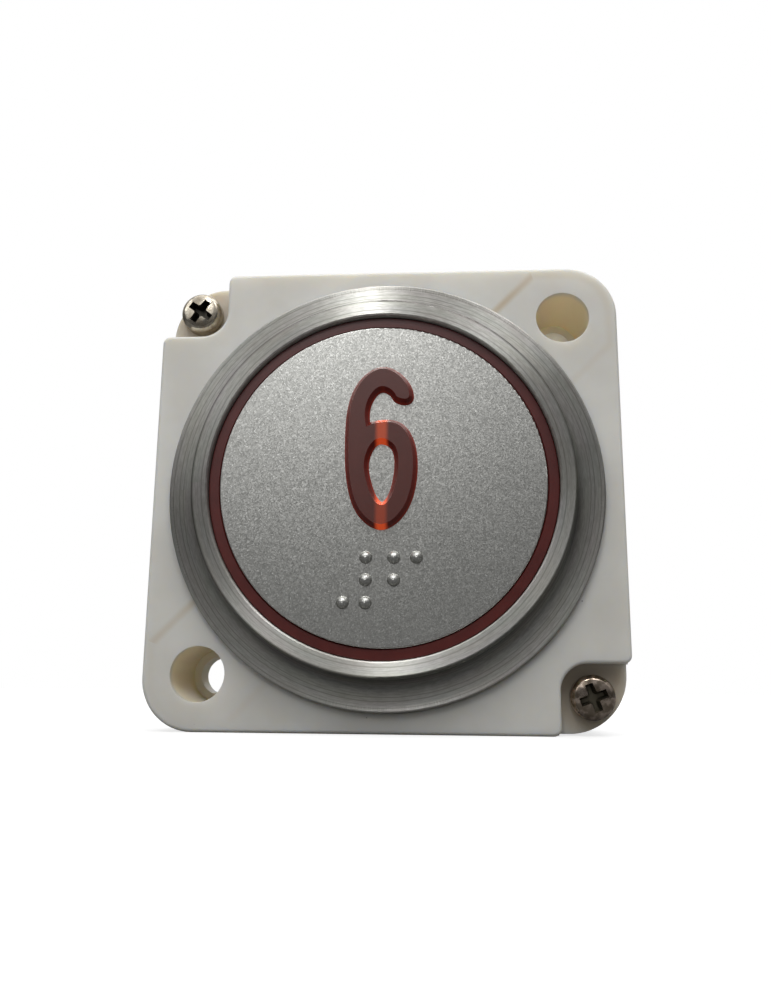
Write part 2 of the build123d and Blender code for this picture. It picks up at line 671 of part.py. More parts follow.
def resistors():
    """Six chip resistors on the back of the board, one for each pair of lamps or line."""
    length, width, height = RESISTOR_SIZE
    places = [(x, y) for y in RESISTOR_ROWS for x in RESISTOR_COLUMNS]
    return [block(length, width, BOARD_BACK - height, BOARD_BACK, place) for place in places]


def polarity_diode():
    """Diode that protects the lamps against a reversed supply."""
    body = block(DIODE_BODY[0], DIODE_BODY[1], -DIODE_BODY[2], -CLEARANCE)
    body = chamfer(body.faces().sort_by(Axis.Z)[0].edges(), DIODE_CHAMFER)
    leads = block(DIODE_LEADS[0], DIODE_LEADS[1], -DIODE_LEADS[2], 0)
    return Pos(DIODE_PLACE[0], DIODE_PLACE[1], BOARD_BACK) * (body + leads)


PARTS = {
    "front_housing": front_housing,
    "rear_housing": rear_housing,
    "housing_screws": housing_screws,
    "bezel_ring": bezel_ring,
    "bezel_snap_ring": bezel_snap_ring,
    "face_plate": face_plate,
    "braille_pins": braille_pins,
    "pressel_lens": pressel_lens,
    "diffuser_disc": diffuser_disc,
    "pressel_carrier": pressel_carrier,
    "return_springs": return_springs,
    "light_chamber": light_chamber,
    "circuit_board": circuit_board,
    "board_screws": board_screws,
    "leds": leds,
    "resistors": resistors,
    "polarity_diode": polarity_diode,
    "switch_body": switch_body,
    "switch_stem": switch_stem,
    "switch_spring": switch_spring,
    "switch_pins": switch_pins,
    "connector_header": connector_header,
    "connector_pins": connector_pins,
}

os.makedirs("parts", exist_ok=True)
stand_up = Pos(0, FLANGE_PROUD, 0) * Rot(90, 0, 0)
for name, make in PARTS.items():
    made = make()
    solids = made if isinstance(made, list) else [made]
    turned = [stand_up * solid for solid in solids]
    export_step(turned[0] if len(turned) == 1 else Compound(children=turned), f"parts/{name}.step")
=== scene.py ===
"""Looks of the round lift push button: materials, spring wires, stage, light and camera.

Metres, in the CAD model's frame: +X right, +Z up, the face looks along -Y, and the origin is on
the button's axis in the plane of the flange's front face.
"""

import json
import math

import bmesh
import bpy
from mathutils import Matrix, Vector


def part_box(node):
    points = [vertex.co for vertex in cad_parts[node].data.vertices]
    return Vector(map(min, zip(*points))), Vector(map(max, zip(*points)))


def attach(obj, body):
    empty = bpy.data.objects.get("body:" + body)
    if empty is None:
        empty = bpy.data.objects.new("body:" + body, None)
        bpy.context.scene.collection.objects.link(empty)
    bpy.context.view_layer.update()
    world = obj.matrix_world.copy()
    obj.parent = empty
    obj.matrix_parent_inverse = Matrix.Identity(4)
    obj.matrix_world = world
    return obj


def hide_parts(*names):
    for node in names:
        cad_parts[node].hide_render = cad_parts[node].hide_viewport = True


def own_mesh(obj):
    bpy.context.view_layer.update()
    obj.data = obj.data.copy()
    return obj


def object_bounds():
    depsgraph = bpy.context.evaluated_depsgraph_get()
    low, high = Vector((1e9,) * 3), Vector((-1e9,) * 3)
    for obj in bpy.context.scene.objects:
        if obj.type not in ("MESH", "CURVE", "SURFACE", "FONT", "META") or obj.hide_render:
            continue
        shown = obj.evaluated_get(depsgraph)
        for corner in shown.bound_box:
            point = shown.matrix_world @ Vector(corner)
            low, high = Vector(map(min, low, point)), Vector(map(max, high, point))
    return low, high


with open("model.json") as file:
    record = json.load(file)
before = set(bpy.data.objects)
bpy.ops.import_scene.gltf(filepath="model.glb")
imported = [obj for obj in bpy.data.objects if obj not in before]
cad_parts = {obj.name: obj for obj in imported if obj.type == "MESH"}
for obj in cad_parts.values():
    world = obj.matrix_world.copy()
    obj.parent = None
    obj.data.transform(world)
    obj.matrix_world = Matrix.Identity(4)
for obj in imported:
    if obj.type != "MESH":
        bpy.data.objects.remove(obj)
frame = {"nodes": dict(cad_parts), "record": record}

cad_box = [list(corner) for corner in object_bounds()]

MM = 0.001

# ---- places on the object that the looks follow --------------------------------------
RING_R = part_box("bezel_ring")[1].x
COLLAR_R = 21.6 * MM
FACE_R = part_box("face_plate")[1].x
FACE_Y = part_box("face_plate")[0].y
FRONT_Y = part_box("front_housing")[0].y
HOUSING_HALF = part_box("front_housing")[1].x
STUD_POINTS = ((21.1 * MM, 21.1 * MM), (-21.1 * MM, -21.1 * MM))
STUD_SOCKET_R = 3.15 * MM
LEDGE_Y = FRONT_Y + 10.3 * MM
SCREW_POINTS = ((-23.3 * MM, 23.3 * MM), (23.3 * MM, -23.3 * MM))
SCREW_TOP_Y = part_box("housing_screws")[0].y
SCREW_RECESS_R = 1.6 * MM
LUG_HALF = 6.3 * MM         # half width of the solid lug round a stud hole
LUG_INSET = 1.0 * MM
LUG_CORNER_R = 6.0 * MM

# ---- strengths and sizes of the surface detail ----------------------------------------
RIB_LINE = 0.75 * MM        # width of the beige lines over the lugs' edges
RIB_LINE_UPPER = 0.34       # how strong the lines beside the housing's sides are
RIB_LINE_LOWER = 0.12
RIB_LINE_SLANTED = 0.60     # and the line across the upper lug
MARK_TURN = 0.003           # sets how long the steel's turning marks are
MARK_LEAN = 0.18            # how far a turning mark leans the surface
RING_SLANT = 1.7            # how fast the rings change along the axis, on the steel's sides
CHATTER_COUNT = 150         # sets how fine the tool chatter round the flange's edge is
CHATTER_LEAN = 1.2
GRAIN_LEAN = 0.10           # how far a grain of the blasted face leans
MARK_SHEEN_TINT = 0.045           # share of the faint rainbow tint in the turning marks, a painted sheen
HALF_FADE = 1.0 * MM        # where the upper half's looks give way to the lower half's
BRIDGE_X = -0.03 * MM       # the face's two bridges, which shine through the numeral
BRIDGE_HALF = 0.62 * MM
BRIDGE_TOP = 7.3 * MM
BAND_LOWER = 0.30           # how orange the numeral's flat top is over each bridge
BAND_UPPER = 0.55
BRIDGE_GLOW = 0.30          # light given off by the bevels there
WEAVE_WAVES = 6000.0        # radians per metre of the board's glass cloth

# ---- colours ---------------------------------------------------------------------------
NYLON_DARK = (0.70, 0.685, 0.635)
NYLON_LIGHT = (0.775, 0.765, 0.72)
NYLON_OVER_RIB = (0.60, 0.50, 0.36)
NYLON_SOCKET_LIGHT = (0.97, 0.87, 0.69)
NYLON_LEDGE_LIGHT = (1.0, 0.96, 0.86)
NYLON_NOTCH_SHADE = (0.56, 0.47, 0.35)
NYLON_SPECK = (0.2, 0.17, 0.13)
STEEL_DARK = (0.50, 0.49, 0.455)
STEEL_LIGHT = (0.64, 0.63, 0.595)
STEEL_LINE = (0.30, 0.29, 0.25)
STEEL_WORN = (0.44, 0.42, 0.37)
STEEL_SHADE_AT_COLLAR = (0.11, 0.105, 0.09)
SATIN_DARK = (0.41, 0.409, 0.387)
SATIN_LIGHT = (0.555, 0.554, 0.53)
SATIN_GLINT = (0.88, 0.88, 0.855)
SATIN_DUST = (0.12, 0.11, 0.10)
LENS_DARK = (0.080, 0.008, 0.006)
LENS_LIGHT = (0.100, 0.011, 0.008)
LENS_NUMERAL = (0.11, 0.036, 0.026)
LENS_BEVEL_LIGHT = (0.15, 0.012, 0.006)
LENS_FOOT_LIGHT = (0.42, 0.035, 0.014)
LENS_LIT = (0.95, 0.13, 0.03)
LENS_GLOW = (1.0, 0.10, 0.02)
PLATING_BRIGHT = (0.62, 0.57, 0.48)
PLATING_WORN = (0.34, 0.29, 0.22)
LOWER_SCREW_DARK = (0.22, 0.165, 0.12)
LOWER_SCREW_LIGHT = (0.62, 0.50, 0.42)
RECESS_SHADE = (0.07, 0.065, 0.055)
RECESS_SHADE_LOWER = (0.15, 0.135, 0.10)
BOARD_DARK = (0.02, 0.12, 0.05)
BOARD_LIGHT = (0.04, 0.2, 0.09)
PAPER_DARK = (0.32, 0.32, 0.32)
PAPER_LIGHT = (0.35, 0.35, 0.35)
WHITE = (1.0, 1.0, 1.0)

# ---- springs ---------------------------------------------------------------------------
GUIDE_RING_R = 11.5 * MM    # circle of the three return springs
GUIDE_ANGLES = (90, 210, 330)
RETURN_SPRING = {"radius": 1.95 * MM, "wire_r": 0.22 * MM, "turns": 5}
SWITCH_SPRING = {"radius": 1.4 * MM, "wire_r": 0.12 * MM, "turns": 2}
TURN_STEPS = 36
WIRE_SIDES = 12

# ---- stage and light -------------------------------------------------------------------
FLOOR_SIZE = 6.0
FLOOR_NEAR = 0.10           # the floor brightens to pure white between these distances
FLOOR_FAR = 0.60
FLOOR_BOUNCE = 0.13         # how light the floor is for everything but the camera
# sine of the elevation, and the brightness of the room there
ROOM_BRIGHTNESS = ((0.0, 0.07), (0.15, 0.09), (0.35, 0.24), (0.60, 0.50), (0.95, 0.70))
# name, place, width and height, surface brightness; each is aimed at the origin
SOFT_BOXES = (
    ("front_left", (-0.15, -0.40, 0.205), (0.36, 0.205), 0.78),
    ("strip", (-0.050, -0.31, 0.34), (0.020, 0.24), 29.0),
    ("right", (0.155, -0.30, 0.36), (0.14, 0.16), 4.6),
    ("left_lamp", (-0.33, -0.30, 0.32), (0.04, 0.20), 4.0),
    ("overhead", (0.0, -0.10, 0.50), (0.6, 0.5), 1.0),
    ("rear", (0.10, 0.45, 0.30), (0.5, 0.4), 1.7),
)

# ---- camera ----------------------------------------------------------------------------
CAMERA_AZIMUTH = 4.1
CAMERA_ELEVATION = -11.92
CAMERA_ROLL = 0.54
CAMERA_DISTANCE = 0.10496
CAMERA_TARGET = Vector((0.0001, 0.0011, -0.0011))
CAMERA_LENS = 32.56         # in mm, on a sensor 36 mm wide
CAMERA_SENSOR = 36.0
CAMERA_NEAR = 0.005


# ---- node helpers ----------------------------------------------------------------------
class Look:
    """A material with its shader, and short ways to add nodes to it."""

    def __init__(self, name, **socket_light):
        """Makes the material. A keyword is a shader socket, with _ for each space, and its value."""
        self.material = bpy.data.materials.new(name)
        self.material.use_nodes = True
        self.nodes = self.material.node_tree.nodes
        self.links = self.material.node_tree.links
        self.shader = self.nodes["Principled BSDF"]
        for socket, value in socket_light.items():
            self.shader.inputs[socket.replace("_", " ")].default_value = value
        self.place = self.add("ShaderNodeTexCoord").outputs["Object"]
        self.x, self.y, self.z = self.add("ShaderNodeSeparateXYZ", {0: self.place}).outputs

    def add(self, kind, inputs=None, **settings):
        """A node of this kind. An input is a value, or the output that feeds it."""
        node = self.nodes.new(kind)
        for name, value in settings.items():
            setattr(node, name, value)
        for key, value in (inputs or {}).items():
            if isinstance(value, bpy.types.NodeSocket):
                self.links.new(value, node.inputs[key])
            else:
                node.inputs[key].default_value = value
        return node

    def feed(self, socket, output):
        """Links an output to one of the shader's sockets."""
        self.links.new(output, self.shader.inputs[socket])

    def math(self, operation, a, b=0.0, c=0.0):
        """One arithmetic node."""
        return self.add("ShaderNodeMath", {0: a, 1: b, 2: c}, operation=operation).outputs[0]

    def product(self, *factors):
        """The factors multiplied together."""
        result = factors[0]
        for factor in factors[1:]:
            result = self.math("MULTIPLY", result, factor)
        return result

    def length(self, a, b):
        """Length of a line with these two sides."""
        return self.math("SQRT", self.math("MULTIPLY_ADD", a, a, self.math("MULTIPLY", b, b)))

    def vector(self, operation, a, b=(0.0, 0.0, 0.0), c=(0.0, 0.0, 0.0)):
        """One vector arithmetic node."""
        inputs = {0: a, 1: b, 2: c}
        return self.add("ShaderNodeVectorMath", inputs, operation=operation).outputs[0]

    def point(self, x=0.0, y=0.0, z=0.0):
        """A vector from three values."""
        return self.add("ShaderNodeCombineXYZ", {0: x, 1: y, 2: z}).outputs[0]

    def step(self, value, start, end):
        """Smoothly 0 at start and 1 at end."""
        inputs = {"Value": value, "From Min": start, "From Max": end}
        node = self.add("ShaderNodeMapRange", inputs, interpolation_type="SMOOTHSTEP")
        return node.outputs["Result"]

    def spread(self, value, low, high, start=0.0, end=1.0):
        """A straight map of start..end to low..high."""
        inputs = {"Value": value, "From Min": start, "From Max": end, "To Min": low, "To Max": high}
        return self.add("ShaderNodeMapRange", inputs).outputs["Result"]

    def noise(self, scale, detail=3.0, roughness=0.5, place=None):
        """Smooth noise from 0 to 1. The scale is in waves per metre."""
        inputs = {"Scale": scale, "Detail": detail, "Roughness": roughness}
        inputs["Vector"] = place or self.place
        return self.add("ShaderNodeTexNoise", inputs).outputs["Fac"]

    def cells(self, scale):
        """A pattern of cells, with each cell's own colour and the distance from its middle."""
        return self.add("ShaderNodeTexVoronoi", {"Vector": self.place, "Scale": scale}).outputs

    def mix(self, factor, a, b):
        """A colour between a and b."""
        node = self.add("ShaderNodeMix", {"Factor": factor}, data_type="RGBA")
        for key, value in ((6, a), (7, b)):
            if isinstance(value, bpy.types.NodeSocket):
                self.links.new(value, node.inputs[key])
            else:
                node.inputs[key].default_value = (*value, 1.0)
        return node.outputs[2]

    def radius(self):
        """Distance from the button's axis."""
        return self.length(self.x, self.z)

    def upper(self):
        """Smoothly 0 in the lower half and 1 in the upper half."""
        return self.step(self.z, -HALF_FADE, HALF_FADE)

    def nearest(self, points):
        """Distance in the front view from the nearer of two points."""
        distances = []
        for across, up in points:
            aside = self.math("SUBTRACT", self.x, across)
            above = self.math("SUBTRACT", self.z, up)
            distances.append(self.length(aside, above))
        return self.math("MINIMUM", *distances)

    def normal(self):
        """The surface's own direction."""
        return self.add("ShaderNodeNewGeometry").outputs["Normal"]

    def bump(self, height, strength, distance, normal=None):
        """The direction of a surface raised by height, over an earlier bump if one is given."""
        inputs = {"Height": height, "Strength": strength, "Distance": distance}
        if normal:
            inputs["Normal"] = normal
        return self.add("ShaderNodeBump", inputs).outputs["Normal"]


# ---- the housing -----------------------------------------------------------------------
def rib_lines(look):
    """How beige the front is over the edges of the solid lugs behind it."""
    slant = look.math("DIVIDE", look.math("SUBTRACT", look.x, look.z), math.sqrt(2.0))
    from_strip = look.math("SUBTRACT", look.math("ABSOLUTE", slant), LUG_HALF)
    past_corner = []
    for axis in (look.x, look.z):
        past = look.math("SUBTRACT", look.math("ABSOLUTE", axis), HOUSING_HALF - LUG_CORNER_R)
        past_corner.append(look.math("MAXIMUM", past, 0.0))
    from_border = look.math("SUBTRACT", look.length(*past_corner), LUG_CORNER_R - LUG_INSET)
    from_lug = look.math("ABSOLUTE", look.math("MAXIMUM", from_strip, from_border))
    line = look.step(from_lug, RIB_LINE, 0.0)

    on_strip = look.math("GREATER_THAN", from_strip, from_border)
    on_upper_side = look.math("LESS_THAN", slant, 0.0)
    strength = look.math(
        "ADD", look.spread(look.upper(), RIB_LINE_LOWER, RIB_LINE_UPPER),
        look.product(on_strip, on_upper_side, RIB_LINE_SLANTED),
    )
    fading = look.spread(look.step(look.noise(55.0, 2.0), 0.38, 0.62), 0.5, 1.0)
    in_front = look.step(look.y, FRONT_Y + 0.5 * MM, FRONT_Y + 0.2 * MM)
    return look.product(line, strength, fading, in_front)


def in_stud_sockets(look):
    """1 on the walls and the ledges of the stud sockets, which are painted lighter as painted light.
    """
    beside = look.nearest(STUD_POINTS)
    return look.product(
        look.step(beside, STUD_SOCKET_R * 1.05, STUD_SOCKET_R * 1.01),
        look.step(look.y, FRONT_Y, FRONT_Y + 1.5 * MM),
    )


def in_screw_notches(look):
    """1 in the corners of the notches round the screws, which are painted darker as painted shade.
    """
    return look.product(
        look.step(look.nearest(SCREW_POINTS), 6.0 * MM, 3.0 * MM),
        look.step(look.y, FRONT_Y + 1.0 * MM, FRONT_Y + 2.8 * MM),
        look.step(look.y, FRONT_Y + 5.5 * MM, FRONT_Y + 3.5 * MM),
    )


def specks(look):
    """A few small dark specks of dirt."""
    dot = look.step(look.cells(420.0)["Distance"], 0.055, 0.03)
    few = look.step(look.noise(160.0, 1.0), 0.56, 0.60)
    return look.product(dot, few, 0.7)


def housing_plastic():
    """Natural white nylon: waxy and cloudy, with the ribs just showing; painted light makes the stud
    sockets a lighter beige, and painted shade makes the screw notches a darker beige.
    """
    look = Look(
        "housing_plastic", Subsurface_Weight=0.6, Subsurface_Scale=2.6 * MM,
        Subsurface_Radius=(1.0, 0.85, 0.6), IOR=1.5,
    )
    cloud = look.step(look.noise(90.0, 4.0), 0.35, 0.65)
    # painted light: the stud sockets' walls, and their ledges even more, are painted a lighter beige
    # than the nylon, as if lit inside
    socket_light = in_stud_sockets(look)
    ledge_light = look.product(socket_light, look.step(look.y, LEDGE_Y - 0.2 * MM, LEDGE_Y - 0.05 * MM))
    # painted shade: the corners of the screw notches are tinted a darker beige, as shade in the
    # recess
    notch_shade = look.product(in_screw_notches(look), 0.75)

    colour = look.mix(cloud, NYLON_DARK, NYLON_LIGHT)
    colour = look.mix(rib_lines(look), colour, NYLON_OVER_RIB)
    colour = look.mix(socket_light, colour, NYLON_SOCKET_LIGHT)
    colour = look.mix(ledge_light, colour, NYLON_LEDGE_LIGHT)
    colour = look.mix(notch_shade, colour, NYLON_NOTCH_SHADE)
    look.feed("Base Color", look.mix(specks(look), colour, NYLON_SPECK))
    look.feed("Roughness", look.spread(look.noise(500.0), 0.36, 0.52))
    grain = look.bump(look.noise(5200.0, 2.0), 0.12, 0.02 * MM)
    look.feed("Normal", look.bump(look.noise(260.0, 2.0), 0.25, 0.05 * MM, grain))
    return look.material


# ---- the steel ring --------------------------------------------------------------------
def chatter_lean(look, radius, angle):
    """Lean of the tool chatter round the flange's outer edge."""
    wave = look.noise(1.0, 1.0, 0.5, look.point(look.product(angle, CHATTER_COUNT)))
    on_edge = look.step(radius, RING_R - 0.8 * MM, RING_R - 0.5 * MM)
    return look.product(look.math("SUBTRACT", wave, 0.55), on_edge, CHATTER_LEAN)


def turned_steel():
    """Stainless steel, turned: fine rings and short marks, which fan the light out across them, with
    painted shade round the collar's root and a faint painted rainbow sheen.
    """
    look = Look("turned_steel", Metallic=1.0, Anisotropic=1.0, Anisotropic_Rotation=0.25)
    radius = look.radius()
    angle = look.math("ARCTAN2", look.z, look.x)
    across = look.math("MULTIPLY_ADD", look.y, RING_SLANT, radius)
    rings = look.point(across)
    marks = look.point(across, look.product(angle, MARK_TURN))
    broad = look.noise(1500.0, 2.0, 0.6, rings)
    short = look.noise(6000.0, 2.0, 0.7, marks)
    stain = look.noise(140.0, 4.0)
    line = look.step(look.noise(4200.0, 1.0, 0.5, rings), 0.55, 0.62)
    worn = look.step(stain, 0.5, 0.75)
    # painted shade: the flange is darkened just outside the collar's root, as the collar's shade on
    # it
    collar_root_shade = look.product(
        look.step(radius, COLLAR_R - 0.35 * MM, COLLAR_R - 0.15 * MM),
        look.step(radius, COLLAR_R + 1.6 * MM, COLLAR_R),
    )
    # painted sheen: a faint rainbow tint mixed into the steel's colour
    sheen_tint = look.add("ShaderNodeTexNoise", {"Vector": marks, "Scale": 900.0, "Detail": 1.0})

    colour = look.mix(look.step(short, 0.3, 0.7), STEEL_DARK, STEEL_LIGHT)
    colour = look.mix(look.product(line, 0.6), colour, STEEL_LINE)
    colour = look.mix(look.product(worn, 0.3), colour, STEEL_WORN)
    colour = look.mix(look.product(collar_root_shade, 0.75), colour, STEEL_SHADE_AT_COLLAR)
    look.feed("Base Color", look.mix(MARK_SHEEN_TINT, colour, sheen_tint.outputs["Color"]))
    look.feed("Roughness", look.spread(look.math("ADD", broad, stain), 0.37, 0.43, 0.6, 1.4))

    mark_lean = look.product(look.math("SUBTRACT", short, 0.5), MARK_LEAN)
    lean = look.math("ADD", mark_lean, chatter_lean(look, radius, angle))
    flat = look.normal()
    around = look.vector("NORMALIZE", look.point(look.product(look.z, -1.0), 0.0, look.x))
    outward = look.vector("CROSS_PRODUCT", around, flat)
    leaning = look.vector("MULTIPLY_ADD", outward, look.point(lean, lean, lean), flat)
    look.feed("Normal", look.vector("NORMALIZE", leaning))
    tangent = look.add("ShaderNodeTangent", direction_type="RADIAL", axis="Y")
    look.feed("Tangent", tangent.outputs[0])
    return look.material


# ---- the face --------------------------------------------------------------------------
def satin_face():
    """Bead-blasted satin silver: each grain leans its own way, so some of them sparkle; the
    brightest grains are also painted lighter as painted glints.
    """
    look = Look("satin_face", Metallic=1.0)
    grain = look.cells(8200.0)["Color"]
    tone = look.add("ShaderNodeSeparateColor", {0: grain}).outputs[0]
    # painted glints: the brightest grains are painted near white
    glint_grains = look.step(tone, 0.78, 1.0)
    dust = look.step(look.cells(300.0)["Distance"], 0.03, 0.018)
    colour = look.mix(look.noise(2600.0), SATIN_DARK, SATIN_LIGHT)
    colour = look.mix(look.product(glint_grains, 0.5), colour, SATIN_GLINT)
    look.feed("Base Color", look.mix(look.product(dust, 0.6), colour, SATIN_DUST))
    look.feed("Roughness", look.spread(look.noise(3000.0), 0.29, 0.38))
    lean = look.vector("SUBTRACT", grain, (0.5, 0.5, 0.5))
    leaning = look.vector("MULTIPLY_ADD", lean, (GRAIN_LEAN,) * 3, look.normal())
    leaning = look.vector("NORMALIZE", leaning)
    look.feed("Normal", look.bump(look.noise(7500.0, 2.0), 0.25, 0.02 * MM, leaning))
    return look.material


# ---- the lens --------------------------------------------------------------------------
def lit_bands(look, on_numeral, lit_bevel):
    """How brightly the face's bridges shine through, at the top and foot of the numeral's loop."""
    aside = look.math("ABSOLUTE", look.math("SUBTRACT", look.x, BRIDGE_X))
    in_band = look.step(aside, BRIDGE_HALF * 1.45, BRIDGE_HALF * 0.45)
    below_top = look.step(look.z, BRIDGE_TOP + 0.3 * MM, BRIDGE_TOP)
    on_top = look.spread(look.upper(), BAND_LOWER, BAND_UPPER)
    strength = look.math("MAXIMUM", lit_bevel, on_top)
    return look.product(in_band, below_top, on_numeral, strength)


def red_lens():
    """Dark translucent red, with painted light: a brighter red on the numeral's bevels and a bright
    red at its foot, as light coming through the plastic, and orange with a painted glow where the
    face's bridges shine through.
    """
    look = Look(
        "red_lens", Subsurface_Weight=0.15, Subsurface_Scale=0.6 * MM,
        Subsurface_Radius=(1.0, 0.2, 0.1), IOR=1.49, Specular_IOR_Level=0.55,
        Emission_Color=(*LENS_GLOW, 1.0),
    )
    radius = look.radius()
    on_numeral = look.step(radius, FACE_R * 0.96, FACE_R * 0.92)
    own_normal = look.add("ShaderNodeTexCoord").outputs["Normal"]
    facing = look.add("ShaderNodeSeparateXYZ", {0: own_normal}).outputs[1]
    # painted light: the numeral's bevels are painted a brighter red, as light coming through the
    # plastic
    lit_bevel = look.product(look.step(facing, -0.95, -0.75), on_numeral)
    # painted light: the numeral's foot, just in front of the face plate, is painted a bright red
    lit_foot = look.product(look.step(look.y, FACE_Y - 0.45 * MM, FACE_Y - 0.1 * MM), on_numeral)
    glow = lit_bands(look, on_numeral, lit_bevel)
    cloud = look.step(look.noise(420.0), 0.3, 0.7)

    colour = look.mix(cloud, LENS_DARK, LENS_LIGHT)
    colour = look.mix(look.product(on_numeral, 0.5), colour, LENS_NUMERAL)
    colour = look.mix(lit_bevel, colour, LENS_BEVEL_LIGHT)
    colour = look.mix(look.product(lit_foot, 0.7), colour, LENS_FOOT_LIGHT)
    look.feed("Base Color", look.mix(glow, colour, LENS_LIT))
    look.feed("Emission Strength", look.product(glow, lit_bevel, BRIDGE_GLOW))
    look.feed("Roughness", look.spread(look.noise(1500.0), 0.30, 0.42))
    turned = look.noise(3800.0, 2.0, 0.5, look.point(radius))
    on_rim = look.step(radius, FACE_R * 0.98, FACE_R)
    look.feed("Normal", look.bump(look.product(turned, on_rim), 0.25, 0.03 * MM))
    return look.material


# ---- screws, springs and inner parts ---------------------------------------------------
def plated_screw():
    """Nickel-plated steel, slightly yellow and scuffed; the lower housing screw is browner, in
    blotches, and the cross recesses are painted dark as painted shade.
    """
    look = Look("screw_steel", Metallic=1.0)
    wear = look.noise(900.0, 4.0, 0.65)
    lower = look.step(look.z, HALF_FADE, -HALF_FADE)
    # painted shade: the screws' cross recesses are painted dark, a little lighter and browner in the
    # lower screw
    recess = look.product(
        look.step(look.nearest(SCREW_POINTS), SCREW_RECESS_R * 1.1, SCREW_RECESS_R),
        look.step(look.y, SCREW_TOP_Y + 0.1 * MM, SCREW_TOP_Y + 0.4 * MM),
    )
    # the lower screw's head is browner, in blotches
    blotches = look.step(look.noise(1300.0), 0.42, 0.62)
    lower_tone = look.mix(blotches, LOWER_SCREW_DARK, LOWER_SCREW_LIGHT)
    recess_shade = look.mix(lower, RECESS_SHADE, RECESS_SHADE_LOWER)

    colour = look.mix(look.step(wear, 0.35, 0.7), PLATING_BRIGHT, PLATING_WORN)
    colour = look.mix(look.product(lower, 0.8), colour, lower_tone)
    look.feed("Base Color", look.mix(recess, colour, recess_shade))
    polish = look.spread(wear, 0.10, 0.26, 0.3, 0.7)
    look.feed("Roughness", look.math("MULTIPLY_ADD", recess, 0.3, polish))
    scratches = look.bump(look.noise(2600.0), 0.3, 0.03 * MM)
    look.feed("Normal", look.bump(look.noise(620.0, 2.0), 0.4, 0.08 * MM, scratches))
    return look.material


def bare_metal(name, scale, dark, light, roughness, bump):
    """Drawn or plated metal between two close colours, with faint marks."""
    look = Look(name, Metallic=1.0)
    marks = look.noise(scale)
    look.feed("Base Color", look.mix(marks, dark, light))
    look.feed("Roughness", look.spread(marks, *roughness))
    look.feed("Normal", look.bump(marks, *bump))
    return look.material


def moulded(name, dark, light, roughness):
    """A moulded plastic between two close colours, with a fine grain."""
    look = Look(name)
    cloud = look.noise(700.0, 4.0)
    look.feed("Base Color", look.mix(look.step(cloud, 0.35, 0.65), dark, light))
    look.feed("Roughness", look.spread(cloud, roughness - 0.07, roughness + 0.07))
    look.feed("Normal", look.bump(look.noise(4200.0), 0.15, 0.02 * MM))
    return look.material


def board_laminate():
    """Green solder mask with the weave of the glass cloth just showing."""
    look = Look("board_laminate", Coat_Weight=0.3)
    warp = look.math("SINE", look.product(look.x, WEAVE_WAVES))
    weft = look.math("SINE", look.product(look.z, WEAVE_WAVES))
    weave = look.product(warp, weft)
    shade = look.spread(weave, 0.3, 0.7, -1.0, 1.0)
    look.feed("Base Color", look.mix(shade, BOARD_DARK, BOARD_LIGHT))
    look.feed("Roughness", look.spread(look.noise(400.0), 0.3, 0.45))
    look.feed("Normal", look.bump(weave, 0.2, 0.02 * MM))
    return look.material


# by the record's material slot; the frame's own materials already have these names
MATERIALS = {
    "housing_plastic": housing_plastic(),
    "turned_steel": turned_steel(),
    "satin_face": satin_face(),
    "red_lens": red_lens(),
    "screw_steel": plated_screw(),
    "spring_steel": bare_metal(
        "spring_steel", 3000.0, (0.34, 0.34, 0.35), (0.56, 0.56, 0.56),
        roughness=(0.25, 0.42), bump=(0.2, 0.01 * MM),
    ),
    "frosted_plastic": moulded("frosted_plastic", (0.78, 0.78, 0.76), (0.88, 0.88, 0.86), 0.5),
    "white_plastic": moulded("white_plastic", (0.76, 0.76, 0.73), (0.86, 0.86, 0.84), 0.4),
    "board_laminate": board_laminate(),
    "lamp_resin": moulded("lamp_resin", (0.72, 0.66, 0.38), (0.86, 0.82, 0.6), 0.25),
    "chip_ceramic": moulded("chip_ceramic", (0.02, 0.02, 0.025), (0.05, 0.05, 0.055), 0.45),
    "black_plastic": moulded("black_plastic", (0.015, 0.015, 0.016), (0.03, 0.03, 0.032), 0.42),
    "tinned_contact": bare_metal(
        "tinned_contact", 2400.0, (0.55, 0.54, 0.52), (0.78, 0.77, 0.75),
        roughness=(0.18, 0.34), bump=(0.15, 0.02 * MM),
    ),
    "connector_plastic": moulded("connector_plastic", (0.70, 0.66, 0.54), (0.80, 0.77, 0.66), 0.4),
}

for row in frame["record"]["subparts"]:
    mesh = frame["nodes"][row["node"]].data
    mesh.materials.clear()
    mesh.materials.append(MATERIALS[row["material_slot"]])


# ---- spring wires ----------------------------------------------------------------------
def helix_wire(mesh, centre, low_y, high_y, radius, wire_r, turns):
    """Adds one coil to a mesh: a round wire along a helix between two depths."""
    steps = turns * TURN_STEPS
    rise = (high_y - low_y - 2 * wire_r) / steps
    rings = []
    for step in range(steps + 1):
        angle = math.tau * step / TURN_STEPS
        outward = Vector((math.cos(angle), 0.0, math.sin(angle)))
        middle = centre + outward * radius + Vector((0.0, low_y + wire_r + rise * step, 0.0))
        ring = []
        for side in range(WIRE_SIDES):
            turn = math.tau * side / WIRE_SIDES
            offset = outward * math.cos(turn) + Vector((0.0, math.sin(turn), 0.0))
            ring.append(mesh.verts.new(middle + offset * wire_r))
        rings.append(ring)
    for first, second in zip(rings, rings[1:]):
        for side in range(WIRE_SIDES):
            following = (side + 1) % WIRE_SIDES
            mesh.faces.new((first[side], first[following], second[following], second[side]))
    mesh.faces.new(rings[0])
    mesh.faces.new(list(reversed(rings[-1])))


